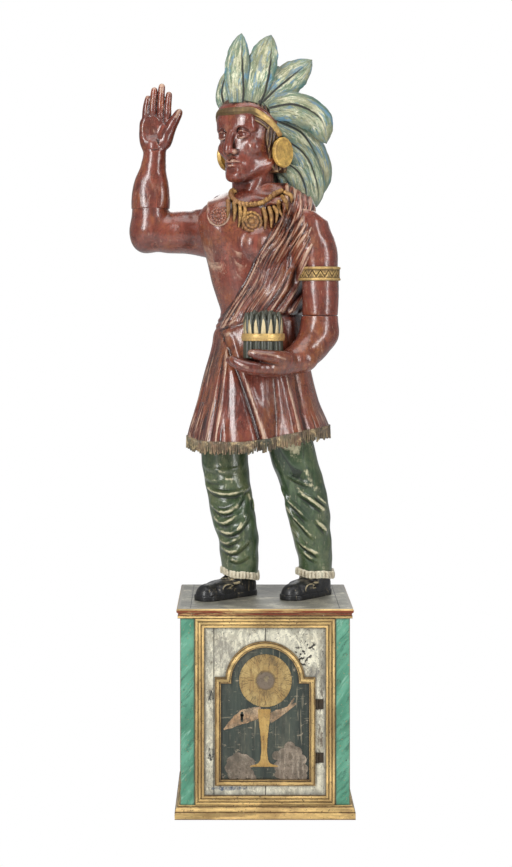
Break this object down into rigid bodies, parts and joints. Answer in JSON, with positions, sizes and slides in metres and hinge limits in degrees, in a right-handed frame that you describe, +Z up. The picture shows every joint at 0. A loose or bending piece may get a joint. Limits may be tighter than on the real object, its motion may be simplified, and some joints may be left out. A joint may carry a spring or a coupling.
{
  "type": "cigar store figure",
  "caption": "Carved and painted standing trade figure with a raised hand and a cigar bundle, on a cabinet pedestal with an arched keyed door.",
  "frame": {"origin": "middle of the pedestal's underside, on the floor, under the middle of its top", "axes": "+X to the viewer's right across the cabinet's front, -Y out of the cabinet's front towards the viewer, +Z up"},
  "size_m": [0.5576, 0.3882, 1.9325],
  "materials": {
    "silvered_board": "tarnished silver leaf over gesso, worn to grey bole",
    "gilt_moulding": "worn gilding over red bole",
    "marbled_green": "green marbled paint",
    "case_wood": "aged plain wood",
    "door_ground": "dark green-grey painted ground with gilt painting, chipped",
    "red_brown_paint": "glossy red-brown paint, crackled and worn",
    "green_paint": "green paint with worn cream ridges",
    "black_paint": "black paint worn to cream and gold",
    "feather_paint": "cream-green paint with teal edges, crackled",
    "gilt_carving": "worn gilding on carved wood",
    "cigar_paint": "brown and cream paint",
    "dowel_wood": "bare beech",
    "brass": "dull aged brass",
    "iron": "dark oiled iron"
  },
  "bodies": {
    "cabinet": {"top_board": "silvered_board", "top_cleats": "silvered_board", "front_board_left": "silvered_board", "front_board_middle": "silvered_board", "front_board_right": "silvered_board", "cornice_front": "gilt_moulding", "cornice_returns": "gilt_moulding", "frame_rails": "gilt_moulding", "frame_stiles": "gilt_moulding", "base_front": "gilt_moulding", "base_returns": "gilt_moulding", "stile_left": "marbled_green", "stile_right": "marbled_green", "side_panel_left": "marbled_green", "side_panel_right": "marbled_green", "back_panel": "case_wood", "bottom_board": "case_wood", "lock_keeper": "case_wood", "hinge_fixed_leaves": "brass", "hinge_pins": "iron", "anchor_bolts": "iron", "anchor_washers": "iron", "torso": "red_brown_paint", "head": "red_brown_paint", "right_upper_arm": "red_brown_paint", "right_forearm": "red_brown_paint", "left_upper_arm": "red_brown_paint", "left_forearm": "red_brown_paint", "right_leg": "green_paint", "left_leg": "green_paint", "right_shoe": "black_paint", "left_shoe": "black_paint", "feather_1": "feather_paint", "feather_2": "feather_paint", "feather_3": "feather_paint", "feather_4": "feather_paint", "feather_5": "feather_paint", "feather_6": "feather_paint", "feather_7": "feather_paint", "feather_8": "feather_paint", "feathers_far_side": "feather_paint", "headband": "gilt_carving", "ear_disc_left": "gilt_carving", "ear_disc_right": "gilt_carving", "necklace": "gilt_carving", "medallion": "gilt_carving", "shoulder_rosette": "gilt_carving", "armband": "gilt_carving", "bundle_band": "gilt_carving", "cigar_bundle": "cigar_paint", "joint_dowels": "dowel_wood"},
    "door": {"door_leaf": "door_ground", "door_moulding_bottom": "gilt_moulding", "door_moulding_sides": "gilt_moulding", "door_moulding_arch": "gilt_moulding", "hinge_moving_leaves": "brass", "lock_case": "iron"},
    "bolt": {"lock_bolt": "iron"}
  },
  "joints": [
    {"name": "door_hinge", "type": "hinge", "parent": "cabinet", "child": "door", "pos_m": [0.12675, -0.17965, 0.212], "axis": [0, 0, 1], "range_deg": [0, 110]},
    {"name": "bolt_slide", "type": "slide", "parent": "door", "child": "bolt", "axis": [-1, 0, 0], "range_m": [0, 0.014]}
  ]
}
